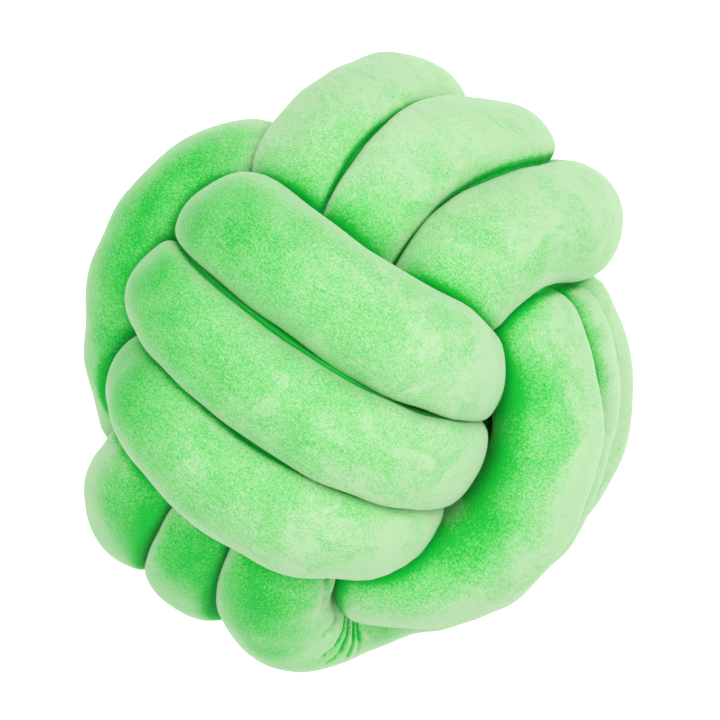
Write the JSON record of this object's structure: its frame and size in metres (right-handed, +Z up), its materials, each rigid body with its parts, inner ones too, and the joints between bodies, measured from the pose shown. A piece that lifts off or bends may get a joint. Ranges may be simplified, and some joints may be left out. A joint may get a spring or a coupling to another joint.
{
  "type": "knot cushion",
  "caption": "Round plush cushion made of one long stuffed tube tied as a monkey's-fist ball, with its strands pressed side by side and its ends tucked inside.",
  "frame": {"origin": "centre of the bounding box's bottom, on the surface that the cushion lies on", "axes": "+Z up, away from the surface it lies on; +X along the front strands that run side by side over the top; +Y towards the crowns of the strands that fan out above them"},
  "size_m": [0.2726, 0.3048, 0.2776],
  "materials": {
    "plush": "short-pile crystal velvet, light green, with a soft sheen"
  },
  "bodies": {
    "root": {"knotted_tube": "plush"}
  },
  "joints": []
}
